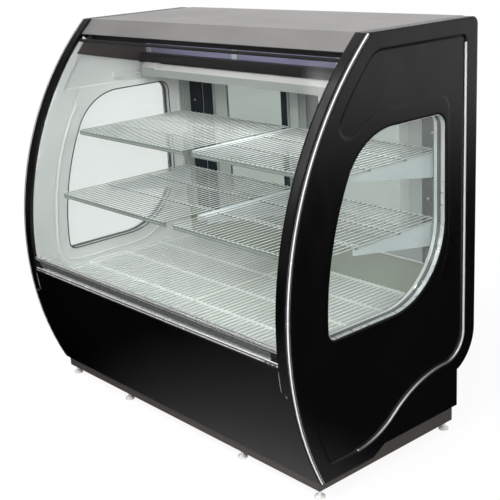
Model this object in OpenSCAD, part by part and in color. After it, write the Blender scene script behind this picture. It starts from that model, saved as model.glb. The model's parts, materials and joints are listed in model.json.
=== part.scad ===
// Refrigerated counter display case with a tilting curved front glass.
// Millimetres. +X to the right, the customer side faces -Y, +Z up.
// The origin lies on the floor, under the middle of the case.

/* [Overall] */
// Width over the end panels
case_w = 1300; // [1100:10:1700]
// Depth from the fullest point of the front to the rear edge
case_d = 760; // [730:5:800]
// Height above the floor
case_h = 1230; // [1190:5:1270]
// Height of the feet under the base tray
foot_h = 30; // [20:1:36]

/* [Front sweep] */
// Radius of the front
sweep_r = 1000; // [970:5:1060]
// Height of the fullest point of the front
sweep_z = 500; // [480:5:520]

/* [End panels] */
// Thickness of the outer skin
skin_t = 18; // [12:1:22]
// Width of the returns that fold in from the skin
return_w = 43; // [38:1:50]
// Depth of the front return behind the front edge
return_d = 42; // [34:1:46]
// Radius of the lower rear corner
tail_r = 130; // [110:2:140]
// Height at which the rear edge starts to curve in
tail_z = 322; // [305:2:340]
// Radius of the upper rear corner
crown_r = 22; // [10:1:40]
// Depth of the embossed field
field_d = 5; // [2:0.5:8]
// Distance of the embossed field from the front edge
field_in = 53; // [45:1:70]
// Radius of the piping along the front edge
piping_r = 5; // [3:0.5:7]
// How far bright trim stands out of the side
trim_proud = 2; // [1:0.5:3]
// Distance of the side strip from the rear edge
strip_in = 49; // [40:1:60]
// Width of the side strip
strip_w = 7; // [4:0.5:10]

/* [Side windows] */
// Distance of the window from the front edge
win_front_in = 145; // [125:1:165]
// Distance of the window from the rear edge
win_rear_in = 137; // [120:1:150]
// Distance of the window's upper edge below the case top
win_top_drop = 245; // [230:1:270]
// Height of the window's lower edge
win_low_z = 459; // [450:1:490]
// Large radius of the lower rear corner
win_tail_r = 226; // [150:2:240]
// Radius of the upper front corner
win_brow_r = 190; // [120:2:220]
// Radius of the upper rear corner
win_back_r = 38; // [25:1:60]
// Radius of the lower front corner
win_toe_r = 28; // [20:1:40]
// Width of the ring that lines the window
ring_w = 3; // [2:0.5:6]
// Thickness of a window pane
pane_t = 4; // [3:0.5:6]

/* [Canopy and light] */
// Height of the sloping front of the canopy
canopy_drop = 46; // [36:1:52]
// Thickness of the canopy sheet
sheet_t = 2; // [1:0.5:3]
// Distance of the lamp's top below the case top
lamp_drop = 166; // [160:1:185]
// Height of the lamp housing
lamp_h = 40; // [36:1:50]
// Depth of the lamp housing
lamp_d = 60; // [50:1:70]
// Radius of the lamp tube
tube_r = 13; // [8:0.5:14]

/* [Front glass] */
// Thickness of the front glass
glass_t = 6; // [4:0.5:8]
// Distance of the glass behind the front edge
glass_in = 10; // [8:0.5:12]
// Height of the sill under the glass
sill_z = 421; // [412:1:430]
// Height of the fixed sill rail
sill_h = 12; // [10:1:16]
// Radius of the pivot barrel
barrel_r = 9; // [8:0.5:10]
// Radius of the pivot pins
pin_r = 5; // [3:0.25:6]
// Height of the clamp rail above the pivot
rail_h = 25; // [24:1:40]
// Running clearance of a pin or shaft in its bore
run_gap = 0.05; // [0.02:0.01:0.1]

/* [Inside] */
// Height of the deck
deck_z = 403; // [398:1:410]
// Height of the lower shelf
low_shelf_z = 667; // [640:1:690]
// Height of the upper shelf
high_shelf_z = 870; // [840:1:890]
// Depth of the lower shelf
low_shelf_d = 528; // [460:2:540]
// Depth of the upper shelf
high_shelf_d = 440; // [380:2:460]
// Diameter of the shelf and deck wires
wire_d = 3.75; // [3:0.25:5]
// Side of the square cross bars under the wires
bar_d = 5; // [4:0.25:6]
// Pitch of the shelf wires
shelf_pitch = 20; // [16:0.5:26]
// Pitch of the deck wires
deck_pitch = 20; // [14:0.5:24]
// Height of the shelves' front rim
rim_h = 13; // [12:1:24]
// Gap between the left and right shelves
shelf_gap = 40; // [24:1:50]
// Height of a shelf bracket at the rear
bracket_h = 72; // [50:1:80]
// Height of a shelf bracket at its front end
bracket_tip_h = 20; // [12:1:30]
// Thickness of a shelf bracket
bracket_t = 3; // [2:0.5:4]
// Reach of the outer shelf brackets
outer_reach = 352; // [300:2:380]
// Reach of the middle shelf brackets
inner_reach = 400; // [300:2:420]

/* [Rear] */
// Height of the door sill's underside
rear_sill_z = 505; // [490:1:515]
// Height of the sill member
rear_sill_h = 35; // [30:1:45]
// Distance of the door head below the case top
head_drop = 100; // [90:1:110]
// Width of each fixed jamb
jamb_w = 157; // [120:1:180]
// Width of the dark cover on a jamb
cover_w = 100; // [80:1:110]
// Width of the dark mullion behind the middle standard
mullion_w = 170; // [120:2:180]
// Thickness of a sliding door
door_t = 14; // [12:0.5:16]
// Width of the door stiles
stile_w = 60; // [40:1:70]
// Height of the door rails
door_rail_h = 45; // [35:1:60]
// Overlap of the doors at the middle
door_overlap = 40; // [30:2:60]

/* [Base and machine] */
// Height of the base tray's walls
base_h = 60; // [50:1:70]
// Height of the base tray seen under the fascia
plinth_h = 32; // [26:1:40]
// Distance of the base tray's sides from the panels' outer faces
base_in = 18; // [12:1:24]
// Thickness of the fascia
fascia_t = 3; // [2:0.5:4]
// Height up to which the fascia covers the end panels
notch_z = 350; // [320:1:380]
// Height of the tub's underside
tub_z = 265; // [255:1:275]
// Thickness of the tub's walls
tub_t = 24; // [18:1:28]
// Radius of the condenser fan
fan_r = 76; // [60:1:80]
// Radius of the evaporator fans
evap_fan_r = 36; // [28:1:38]

/* [Hidden] */
$fn = 48;
sweep_fn = 720;
eps = 1;

// Main planes
half_w = case_w / 2;
face_x = half_w - trim_proud;
skin_x = face_x - skin_t;
inner_x = face_x - return_w;
fit = 1;
clear_x = inner_x - fit;
front_y = -case_d / 2;
rear_y = case_d / 2;
axis_y = sweep_r + front_y;
axis = [axis_y, sweep_z];
base_x = face_x - base_in;
base_top = foot_h + base_h;
panel_low_z = foot_h + plinth_h - 2;
fascia_low_z = foot_h + plinth_h;

// Angle and depth of the front sweep at a height
function sweep_a(z, r = sweep_r) = asin((z - sweep_z) / r);
function sweep_y(z, r = sweep_r) = axis_y - sqrt(r * r - (z - sweep_z) * (z - sweep_z));

// Points along an arc, with and without its ends
function polar(c, r, a) = c + r * [cos(a), sin(a)];
function arc(c, r, a0, a1, n = 12) = [for (i = [0:n]) polar(c, r, a0 + (a1 - a0) * i / n)];
function open_arc(c, r, a0, a1, n = 12) = [for (i = [1:n - 1]) polar(c, r, a0 + (a1 - a0) * i / n)];

// Centre of a fillet of radius r between the front arc of radius rf and a level line
function brow_c(rf, z, r) = [axis_y - sqrt(pow(rf - r, 2) - pow(z - sweep_z, 2)), z];
// Point at distance ra from a and rb from b, on the upper side
function meet(a, ra, b, rb) =
  let (v = b - a, d = norm(v), t = (ra * ra - rb * rb + d * d) / (2 * d))
  a + v * t / d + [v[1], -v[0]] / d * sqrt(ra * ra - t * t);
function toward(c, p, r) = c + r * (p - c) / norm(p - c);
function bearing(c) = let (a = atan2(c[1] - sweep_z, c[0] - axis_y)) a < 0 ? a + 360 : a;

// Closed outline with a swept front, level top and bottom, an upright rear and four rounded corners
function kidney(rf, top, low, back, r_brow, r_back, r_tail, r_toe) =
  let (brow = brow_c(rf, top - r_brow, r_brow), toe = brow_c(rf, low + r_toe, r_toe))
  concat(
    arc(brow, r_brow, bearing(brow), 90),
    arc([back - r_back, top - r_back], r_back, 90, 0),
    arc([back - r_tail, low + r_tail], r_tail, 0, -90, 18),
    arc(toe, r_toe, 270, bearing(toe)),
    open_arc(axis, rf, bearing(toe), bearing(brow), 24));

win_back_y = rear_y - win_rear_in;
win_top_z = case_h - win_top_drop;
win_r = sweep_r - win_front_in;
// Window outline drawn in by o
function window(o) = kidney(win_r - o, win_top_z - o, win_low_z + o, win_back_y - o,
  win_brow_r - o, win_back_r - o, win_tail_r - o, win_toe_r - o);

// Extrusion along X of an outline drawn in Y and Z
module across(x0, x1) {
  translate([x0, 0, 0]) rotate([90, 0, 90]) linear_extrude(x1 - x0) children();
}

// Revolution about the axis of the front sweep of a section drawn in radius and -X
module sweep(a0, a1) {
  translate([0, axis_y, sweep_z]) rotate([90, 0, -90])
    rotate_extrude(angle = a1 - a0, start = a0, $fn = sweep_fn) children();
}

// Band of the front sweep between two heights
module band(z0, z1, r0, r1, x0, x1) {
  sweep(sweep_a(z0), sweep_a(z1)) translate([r0, -x1]) square([r1 - r0, x1 - x0]);
}

// Box between two corners
module block(a, b) {
  translate(a) cube(b - a);
}

// A right-hand piece, mirrored for the left side when s is -1
module side(s) {
  if (s > 0) children();
  else mirror([1, 0, 0]) children();
}

module both() {
  children();
  mirror([1, 0, 0]) children();
}

// Round rod along X or Y from a point
module rod_x(p, l, r) {
  translate(p) rotate([0, 90, 0]) cylinder(r = r, h = l);
}

module rod_y(p, l, r) {
  translate(p) rotate([-90, 0, 0]) cylinder(r = r, h = l);
}

// End panels
tail_c = [rear_y - tail_r, tail_z];
tail_a = -65;
kick_y = tail_c[0] + tail_r * cos(tail_a) - 5;
kick_z = tail_z + tail_r * sin(tail_a);
side_low_z = base_top - 4;
toe_y = -75;
toe_run = 49;
strip_r = tail_r - strip_in;
strip_y = rear_y - strip_in;
drop_r = 380;
lift_r = 250;
s_turn = 38;
drop_c = tail_c - [0, strip_r + drop_r];
lift_c = polar(drop_c, drop_r + lift_r, 90 + s_turn);
field_top_z = case_h - 46;
field_r = sweep_r - field_in;
field_brow_r = 60;
field_toe_r = 20;
field_back_r = 14;
field_low_z = lift_c[1] - lift_r;
strip_top_z = field_top_z - field_back_r - 4;
horn_r = 33;
surround_w = 47;
surround_back = 16;
surround_top_z = win_top_z + surround_w;
surround_low_z = win_low_z - surround_w;
surround_r = win_r + surround_w;
surround_brow_r = win_brow_r + surround_w;

module panel_outline() {
  intersection() {
    translate(axis) circle(r = sweep_r, $fn = sweep_fn);
    polygon(concat([[front_y, case_h]],
      arc([rear_y - crown_r, case_h - crown_r], crown_r, 90, 0),
      arc(tail_c, tail_r, 0, tail_a),
      [[kick_y, kick_z], [kick_y, side_low_z], [toe_y + toe_run, side_low_z],
       [toe_y, panel_low_z], [front_y, panel_low_z]]));
  }
}

// S-shaped line on the side, offset by o towards the rear edge
function s_line(o) = concat([[strip_y + o, strip_top_z]],
  arc(tail_c, strip_r + o, 0, -90, 18),
  open_arc(drop_c, drop_r - o, 90, 90 + s_turn),
  arc(lift_c, lift_r + o, s_turn - 90, -90));

function reversed(list) = [for (i = [len(list) - 1:-1:0]) list[i]];

module s_strip_outline() {
  polygon(concat(s_line(strip_w / 2), reversed(s_line(-strip_w / 2))));
}

// Embossed field: everything inside the S line and the front rim, apart from the window surround.
// In front of the window it ends in a round horn that touches the front rim and the surround.
module field_outline() {
  brow = brow_c(field_r, field_top_z - field_brow_r, field_brow_r);
  toe = brow_c(field_r, field_low_z + field_toe_r, field_toe_r);
  brow_mid = brow_c(surround_r, surround_top_z - surround_brow_r, surround_brow_r);
  horn = meet(axis, field_r - horn_r, brow_mid, surround_brow_r + horn_r);
  horn_out = toward(horn, 2 * horn - axis, horn_r);
  horn_in = toward(horn, brow_mid, horn_r);
  gap_y = win_back_y - win_tail_r;
  translate(horn) circle(r = horn_r);
  difference() {
    polygon(concat(
      arc(brow, field_brow_r, bearing(brow), 90),
      arc([strip_y - field_back_r, field_top_z - field_back_r], field_back_r, 90, 0),
      s_line(0),
      arc(toe, field_toe_r, 270, bearing(toe)),
      open_arc(axis, field_r, bearing(toe), bearing(brow), 36)));
    polygon(kidney(surround_r, surround_top_z, surround_low_z, win_back_y + surround_back,
      surround_brow_r, win_back_r, win_tail_r + surround_back, win_toe_r));
    polygon([horn_out, horn, horn_in, [gap_y, horn_in[1]], [gap_y, surround_low_z],
      [front_y, surround_low_z], [front_y, horn_out[1]]]);
  }
}

module end_panel() {
  rebate = 2 * piping_r;
  color("#151516") difference() {
    union() {
      across(skin_x, face_x) panel_outline();
      across(inner_x, skin_x) difference() {
        panel_outline();
        intersection() {
          translate(axis) circle(r = sweep_r - return_d, $fn = sweep_fn);
          translate([front_y, 0]) square([case_d - return_d, case_h - return_w + fit]);
        }
        translate([front_y, 0]) square([case_d, base_top + 5]);
      }
    }
    across(inner_x - eps, face_x + eps) polygon(window(0));
    across(face_x - field_d, face_x + eps) field_outline();
    across(face_x - field_d, face_x + eps) s_strip_outline();
    sweep(sweep_a(0), sweep_a(case_h + 40))
      translate([sweep_r - rebate, -face_x - eps]) square([rebate + eps, face_x + eps - half_w + rebate]);
    sweep(sweep_a(0), sweep_a(notch_z))
      translate([sweep_r - fascia_t, -face_x - eps]) square([fascia_t + eps, face_x + 2 * eps - inner_x]);
  }
}

module front_piping() {
  color("#d8dadb") sweep(sweep_a(fascia_low_z), sweep_a(case_h))
    translate([sweep_r - piping_r, piping_r - half_w]) circle(r = piping_r);
}

module side_strip() {
  color("#d8dadb") across(face_x - field_d, half_w) s_strip_outline();
}

// Inner liner of an end panel, with a step across its upper part and an upright groove near the front
liner_low_z = tub_z + 5;
liner_top_z = case_h - return_w;
liner_step_z = win_top_z + 22;
liner_step = 3;
groove_w = 4;
liner_lip = 13;
rim_x = inner_x + liner_lip;

module side_liner() {
  color("#e4eae4") difference() {
    across(inner_x, skin_x) intersection() {
      translate(axis) circle(r = sweep_r - return_d - fit, $fn = sweep_fn);
      translate([front_y, liner_low_z])
        square([case_d - return_d - fit, liner_top_z - liner_low_z]);
    }
    across(inner_x - eps, skin_x + eps) polygon(window(ring_w));
    across(rim_x, skin_x + eps) polygon(window(0));
    block([inner_x - eps, front_y, liner_step_z], [inner_x + liner_step, rear_y, case_h]);
    across(inner_x - eps, inner_x + liner_step) difference() {
      translate(axis) circle(r = surround_r + groove_w, $fn = sweep_fn);
      translate(axis) circle(r = surround_r, $fn = sweep_fn);
    }
  }
}

// Side window: lining ring, a spacer that holds two panes, and a thin lip on the liner
ring_in = 3;
pane_in = 15;
spacer_w = 2;
lip_t = 2;
lip_w = 3;
lip_lap = 1;
pane_out_x = face_x - pane_in;

module window_ring() {
  color("#c9cccd") across(rim_x, face_x - ring_in) difference() {
    polygon(window(0));
    polygon(window(ring_w));
  }
}

module window_glass() {
  color("#cfe3dc", 0.35) for (x = [rim_x, pane_out_x - pane_t])
    across(x, x + pane_t) polygon(window(ring_w + spacer_w));
}

module window_gasket() {
  color("#3a4344") {
    across(rim_x, pane_out_x) difference() {
      polygon(window(ring_w));
      polygon(window(ring_w + spacer_w));
    }
    across(inner_x - lip_t, inner_x) difference() {
      polygon(window(ring_w - lip_w));
      polygon(window(ring_w + lip_lap));
    }
  }
}

// Canopy, its end gussets with a strip behind the lip, and what hangs under it
canopy_r = sweep_r - 4;
canopy_back_y = rear_y - 6;
lip_z = case_h - canopy_drop;
lip_y = sweep_y(lip_z, canopy_r);
crest_y = sweep_y(case_h, canopy_r);
fold_w = 38;
back_lip_h = 44;
under_z = case_h - sheet_t;
lamp_top_z = case_h - lamp_drop;
lamp_set = 8;
lamp_back_y = (crest_y + canopy_back_y) / 2 - lamp_set;
lamp_front_y = lamp_back_y - lamp_d;
ballast_h = 31;
gusset_t = 6;
gusset_r = sweep_r - 30;
gusset_low_z = lip_z - 64;
gusset_back_z = lamp_top_z - 4;
gusset_front_y = lip_y + fold_w + fit;
ballast_d = 32;

module canopy() {
  color("#b9b7b4") across(-clear_x, clear_x) {
    translate([crest_y, under_z]) square([canopy_back_y - crest_y, sheet_t]);
    translate([canopy_back_y - sheet_t, case_h - back_lip_h]) square([sheet_t, back_lip_h]);
    polygon([[crest_y, case_h], [lip_y, lip_z], [lip_y + 1.5 * sheet_t, lip_z],
      [crest_y + 1.5 * sheet_t, case_h]]);
    translate([lip_y, lip_z]) square([fold_w, sheet_t]);
  }
}

module canopy_gussets() {
  strip_h = 36;
  strip_low_z = lip_z - 20;
  x = clear_x - gusset_t;
  color("#2c2723") {
    both() across(x, clear_x) polygon([
      [crest_y + 3 * sheet_t, under_z], [lamp_back_y + sheet_t, under_z],
      [lamp_back_y + sheet_t, gusset_back_z], [sweep_y(gusset_low_z, gusset_r), gusset_low_z],
      [gusset_front_y - fit - 4, lip_z], [gusset_front_y, lip_z], [gusset_front_y, lip_z + canopy_drop / 2]]);
    block([-x - eps, gusset_front_y, strip_low_z], [x + eps, gusset_front_y + gusset_t, strip_low_z + strip_h]);
  }
}

module light_panel() {
  color("#8f8fb4") block([gusset_t - clear_x, lamp_back_y, lamp_top_z + ballast_h],
    [clear_x - gusset_t, lamp_back_y + sheet_t, under_z]);
}

module ballast_cover() {
  x = clear_x - gusset_t;
  bend = 8;
  y1 = lamp_back_y + sheet_t;
  y0 = y1 - ballast_d;
  z1 = lamp_top_z + ballast_h;
  color("#2a2828") across(-x, x) polygon([[y0, lamp_top_z], [y1, lamp_top_z], [y1, z1],
    [y0 + bend, z1], [y0, z1 - bend]]);
}

module lamp_hangers() {
  strap_w = 22;
  strap_t = 3;
  first_x = gusset_t + 12 - clear_x;
  pitch = 0.76 * clear_x;
  color("#a9abb8") for (i = [0:2])
    translate([first_x + i * pitch, lamp_back_y - strap_t, lamp_top_z + ballast_h])
      cube([strap_w, strap_t, under_z - lamp_top_z - ballast_h]);
}

lamp_x = clear_x - 58;
lamp_wall = 3;
tube_z = lamp_top_z - lamp_h + tube_r - 4;
tube_y = (lamp_front_y + lamp_back_y) / 2;

// Folded reflector channel with closed ends and a flat strip over the tube
module lamp_housing() {
  slope = 14;
  color("#f4f5f0") difference() {
    across(-lamp_x, lamp_x) difference() {
      polygon([[lamp_front_y, lamp_top_z - lamp_h], [lamp_back_y, lamp_top_z - lamp_h],
        [lamp_back_y, lamp_top_z - slope], [lamp_back_y - slope, lamp_top_z],
        [lamp_front_y + slope, lamp_top_z], [lamp_front_y, lamp_top_z - slope]]);
      translate([lamp_front_y + 14, lamp_top_z - lamp_h + 6]) square([lamp_d - 28, 2]);
    }
    across(lamp_wall - lamp_x, lamp_x - lamp_wall) polygon([
      [lamp_front_y + lamp_wall, lamp_top_z - lamp_h - eps],
      [lamp_back_y - lamp_wall, lamp_top_z - lamp_h - eps],
      [lamp_back_y - lamp_wall, lamp_top_z - lamp_h], [tube_y + tube_r, lamp_top_z - 10],
      [tube_y - tube_r, lamp_top_z - 10], [lamp_front_y + lamp_wall, lamp_top_z - lamp_h]]);
  }
}

module lamp_tube() {
  x = lamp_x - lamp_wall;
  color("white") rod_x([-x, tube_y, tube_z], 2 * x, tube_r);
}

module lamp_brackets() {
  arm_t = 4;
  arm_l = 78;
  arm_y = lamp_front_y - arm_l;
  arm_h = 28;
  tip_lift = 12;
  tip_h = 20;
  z0 = liner_step_z + fit;
  tab_z = max(lamp_top_z - lamp_h + 4, z0 + arm_t);
  color("#c3ccc9") both() {
    across(inner_x - arm_t, inner_x + liner_step) polygon([[arm_y, z0 + tip_lift], [lamp_back_y, z0],
      [lamp_back_y, z0 + arm_h], [arm_y, z0 + tip_lift + tip_h]]);
    block([lamp_x, lamp_front_y + 8, tab_z], [inner_x - arm_t + 0.5, lamp_back_y - 8, tab_z + arm_t]);
  }
}

// Fascia and sill
tub_front_y = sweep_y(tub_z, sweep_r - fascia_t - 4);
sill_top = sill_z + sill_h;
fold_t = 3;
sill_relief = 0.4;

module front_fascia() {
  side_x = half_w - 2 * piping_r - 0.5;
  r0 = sweep_r - fascia_t;
  color("#141415") {
    band(fascia_low_z, notch_z - 0.5, r0, sweep_r, -side_x, side_x);
    band(notch_z - 0.5, sill_z - sill_relief, r0, sweep_r, -clear_x, clear_x);
    across(-clear_x, clear_x) polygon([
      [sweep_y(sill_z, r0) - 1, sill_z], [tub_front_y, sill_z], [tub_front_y, sill_z - fold_t],
      [sweep_y(sill_z, r0) - 1, sill_z - fold_t]]);
    across(-base_x, base_x) polygon([
      [sweep_y(fascia_low_z, r0) - 1, fascia_low_z + fold_t], [base_front_y, fascia_low_z + fold_t],
      [base_front_y, fascia_low_z], [sweep_y(fascia_low_z, r0) - 1, fascia_low_z]]);
  }
}

// Fixed aluminium rail with a nose and a shadow groove
module sill_rail() {
  nose_y = sweep_y(sill_z) + 2;
  nick = 2;
  color("#a7a9a8") across(-clear_x, clear_x) polygon([
    [nose_y, sill_z], [tub_front_y, sill_z], [tub_front_y, sill_top], [nose_y + nick, sill_top],
    [nose_y, sill_top - nick], [nose_y, sill_z + 7], [nose_y + nick, sill_z + 6],
    [nose_y + nick, sill_z + 4], [nose_y, sill_z + 3]]);
}

// Front glass, which tilts forward about the pins
pivot_gap = 3;
pivot_z = sill_top + barrel_r + pivot_gap;
pivot_y = sweep_y(pivot_z, sweep_r - glass_in - glass_t / 2 - 2);
block_w = 30;
rail_x = clear_x - block_w - 2;
glass_x = clear_x - 2;
glass_r = sweep_r - glass_in - glass_t;
glass_low_z = pivot_z + barrel_r + 4;
glass_top_z = lip_z - 10;
clamp_t = 5;
clamp_back = 7;
pin_grip = 16;

module front_glass() {
  color("#d6e8e2", 0.3) band(glass_low_z, glass_top_z, glass_r, glass_r + glass_t, -glass_x, glass_x);
}

// Pivot barrel and ribbed clamp in one extrusion
module glass_rail() {
  r0 = glass_r - clamp_back;
  r1 = glass_r + glass_t + clamp_t;
  top_z = pivot_z + rail_h;
  rib = 2;
  color("#b4b6b5") difference() {
    union() {
      rod_x([-rail_x, pivot_y, pivot_z], 2 * rail_x, barrel_r);
      band(pivot_z + 4, glass_low_z, r0, r1, -rail_x, rail_x);
      band(glass_low_z - 0.5, top_z, r0, r1, -glass_x, glass_x);
      for (z = [glass_low_z + 2, top_z - 2 * rib])
        band(z, z + rib, r1 - 0.5, r1 + rib, -glass_x, glass_x);
    }
    band(glass_low_z, top_z + 5, glass_r, glass_r + glass_t, -glass_x - eps, glass_x + eps);
    both() rod_x([rail_x - pin_grip, pivot_y, pivot_z], pin_grip + eps, pin_r + run_gap);
  }
}

module glass_top_edge() {
  edge_h = 4;
  lap = 2;
  color("#101010") difference() {
    band(glass_top_z - edge_h, glass_top_z + 2, glass_r - lap, glass_r + glass_t + lap, -glass_x, glass_x);
    band(glass_top_z - edge_h - eps, glass_top_z, glass_r, glass_r + glass_t, -glass_x - eps, glass_x + eps);
  }
}

module pivot_pins() {
  color("#8d8f90") both() rod_x([rail_x - pin_grip + 1, pivot_y, pivot_z], pin_grip + block_w - 4, pin_r);
}

module pivot_blocks() {
  color("#1c1c1d") both() difference() {
    union() {
      rod_x([clear_x - block_w, pivot_y, pivot_z], block_w, barrel_r);
      block([clear_x - block_w, pivot_y - barrel_r, sill_top], [clear_x, pivot_y + barrel_r, pivot_z]);
    }
    rod_x([clear_x - block_w - eps, pivot_y, pivot_z], block_w - 2 + eps, pin_r + run_gap);
  }
}

// Base tray with corner posts under the tub
base_t = 3;
base_front_y = sweep_y(fascia_low_z) + 7;
post = 40;

module base_tray() {
  color("#57514c") {
    difference() {
      block([-base_x, base_front_y, foot_h], [base_x, kick_y, base_top]);
      block([base_t - base_x, base_front_y + base_t, foot_h + base_t],
        [base_x - base_t, kick_y - base_t, base_top + eps]);
    }
    for (s = [-1, 1], y = [base_front_y + 30, kick_y - post - 12])
      translate([s * (clear_x - post) - post / 2, y, foot_h + base_t - 0.5])
        difference() {
          cube([post, post, tub_z - foot_h - base_t + 0.5]);
          translate([base_t, base_t, base_t]) cube([post - 2 * base_t, post - 2 * base_t, tub_z]);
        }
  }
}

// Feet: pad, stud and lock nut
module levelling_feet() {
  pad_r = 15;
  stud_r = 5;
  nut_r = 9;
  nut_h = 6;
  inset = 18;
  end_x = base_x - inset;
  mid_x = 0.474 * end_x;
  color("#c8c8c6") for (x = [-end_x, -mid_x, mid_x, end_x], y = [base_front_y + inset, kick_y - inset])
    translate([x, y, 0]) {
      cylinder(r = pad_r, h = 4);
      translate([0, 0, 4]) cylinder(r1 = pad_r, r2 = stud_r + 2, h = 5);
      cylinder(r = stud_r, h = foot_h);
      translate([0, 0, foot_h - nut_h]) cylinder(r = nut_r, h = nut_h, $fn = 6);
    }
}

// Tub, pan and deck
weld = 0.6;
tub_back_y = rear_y - 50;
ledge_z = bar_low_z(deck_z);
pan_t = 3;
tub_wall_y = tub_front_y + tub_t;
duct_y = tub_back_y - tub_t;
duct_t = 6;
ledge_w = 10;

module deck_tub() {
  floor_front_z = tub_z + 55;
  floor_back_z = tub_z + tub_t;
  color("#dfe3df") difference() {
    across(-clear_x, clear_x) polygon([
      [tub_front_y, tub_z], [tub_back_y, tub_z], [tub_back_y, rear_sill_z], [duct_y, rear_sill_z],
      [duct_y, ledge_z], [tub_wall_y, ledge_z], [tub_wall_y, sill_top], [tub_front_y, sill_top]]);
    across(tub_t + ledge_w - clear_x, clear_x - tub_t - ledge_w) polygon([
      [tub_wall_y + ledge_w, floor_front_z], [duct_y - ledge_w, floor_back_z],
      [duct_y - ledge_w, ledge_z + eps], [tub_wall_y + ledge_w, ledge_z + eps]]);
    block([tub_t - clear_x, tub_wall_y, ledge_z - pan_t], [clear_x - tub_t, duct_y, ledge_z + eps]);
  }
}

// Pan under the deck, with rows of air slots at the front and rear
module deck_pan() {
  gap = 0.5;
  slot_l = 60;
  slot_w = 8;
  x = clear_x - tub_t - gap;
  n = floor((x - 40) / 100);
  color("#eef0ec") difference() {
    block([-x, tub_wall_y + gap, ledge_z - pan_t], [x, duct_y - gap, ledge_z]);
    for (i = [-n:n], y = [tub_wall_y + 36, duct_y - 50])
      translate([i * 100 - slot_l / 2, y, ledge_z - pan_t - eps]) cube([slot_l, slot_w, pan_t + 2 * eps]);
  }
}

// Underside of the bars of a wire grid with its top face at z
function bar_low_z(z) = z - wire_d + weld - bar_d;

// Welded wire grid: round wires front to back on square bars, its top face at z
module wire_grid(x0, x1, y0, y1, z, bars, pitch) {
  n = round((x1 - x0 - wire_d) / pitch);
  step = (x1 - x0 - wire_d) / n;
  bar_z = bar_low_z(z);
  for (i = [0:n])
    rod_y([x0 + wire_d / 2 + i * step, y0, z - wire_d / 2], y1 - y0, wire_d / 2);
  for (i = [0:bars - 1])
    translate([x0, y0 + (y1 - y0 - bar_d) * i / (bars - 1), bar_z]) cube([x1 - x0, bar_d, bar_d]);
}

module deck_grid() {
  color("#eef1ed") wire_grid(3, clear_x - 3, tub_wall_y + 3, duct_y - duct_t - 2, deck_z, 5, deck_pitch);
}

// Plain panel between the deck and the doors, with a folded foot that stands on the tub's ledge
module rear_duct_panel() {
  fold = 3;
  color("#9ba093") {
    block([2 - clear_x, duct_y - duct_t, ledge_z], [clear_x - 2, duct_y, rear_sill_z]);
    block([2 - clear_x, duct_y - duct_t - fold, rear_sill_z - fold],
      [clear_x - 2, duct_y - duct_t + 0.5, rear_sill_z]);
  }
}

// Rear frame with two door tracks
frame_in = 62;
frame_y = rear_y - frame_in;
frame_back_y = canopy_back_y - sheet_t - fit;
head_z = case_h - head_drop;
door_low_z = rear_sill_z + rear_sill_h;
open_x = clear_x - jamb_w;
track_w = 9;
fin_t = 6;
sill_track = 10;
head_track = 22;
track_in = 18;
track_pitch = 20;
track_y = [frame_y + track_in, frame_y + track_in + track_pitch];
slide_gap = 0.3;

module rear_frame() {
  color("#dadedb") difference() {
    block([-clear_x, frame_y, rear_sill_z], [clear_x, frame_back_y, under_z]);
    block([-open_x, frame_y - eps, door_low_z], [open_x, frame_back_y + eps, head_z]);
    for (y = track_y) {
      block([-open_x, y - track_w / 2, door_low_z - sill_track], [open_x, y + track_w / 2, door_low_z + eps]);
      block([-open_x, y - track_w / 2, head_z - eps], [open_x, y + track_w / 2, head_z + head_track]);
    }
  }
}

cover_t = 6;
cover_rise = 20;
cover_top_z = head_z + cover_rise;

// Cover on each jamb, and a narrow strip beside the left one
module jamb_covers() {
  strip_gap = 10;
  color("#4a4f52") {
    both() block([clear_x - cover_w, frame_y - cover_t, rear_sill_z], [clear_x, frame_y, cover_top_z]);
    block([cover_w + strip_gap - clear_x, frame_y - cover_t, rear_sill_z], [-open_x, frame_y, cover_top_z]);
  }
}

module center_mullion() {
  color("#4a4f52") block([-mullion_w / 2, frame_y - cover_t, rear_sill_z],
    [mullion_w / 2, frame_y, cover_top_z]);
}

// Shelf standards: ribbed uprights with a gap for each bracket between two ribs
rib_t = 4;
standard_d = 22;
standard_base = 3;
standard_y = frame_y - cover_t - standard_d;
outer_gap_x = clear_x - 26;
inner_gap_x = 24;
gap_w = 9;
standard_z0 = rear_sill_z + 6;

module standard(x0, x1, gaps) {
  slot_h = 10;
  slot_pitch = 50;
  slots = floor((head_z - standard_z0 - 60) / slot_pitch);
  difference() {
    block([x0, standard_y, standard_z0], [x1, frame_y - cover_t, head_z]);
    for (x = gaps) {
      block([x - gap_w / 2, standard_y - eps, standard_z0 - eps],
        [x + gap_w / 2, frame_y - cover_t - standard_base, head_z + eps]);
    }
    for (i = [0:slots])
      block([x0 + 1, standard_y - eps, standard_z0 + 20 + i * slot_pitch],
        [x1 - 1, standard_y + 2, standard_z0 + 20 + i * slot_pitch + slot_h]);
  }
}

module shelf_standards() {
  outer_x0 = outer_gap_x - gap_w / 2 - rib_t;
  middle_x = inner_gap_x + gap_w / 2 + rib_t;
  color("#e9ecea") {
    standard(-middle_x, middle_x, [-inner_gap_x, inner_gap_x]);
    both() standard(outer_x0, clear_x - 1, [outer_gap_x, clear_x - 10]);
  }
}

shelf_back_y = standard_y - 4;
shelf_x0 = shelf_gap / 2;
shelf_x1 = clear_x - 12;

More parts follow.
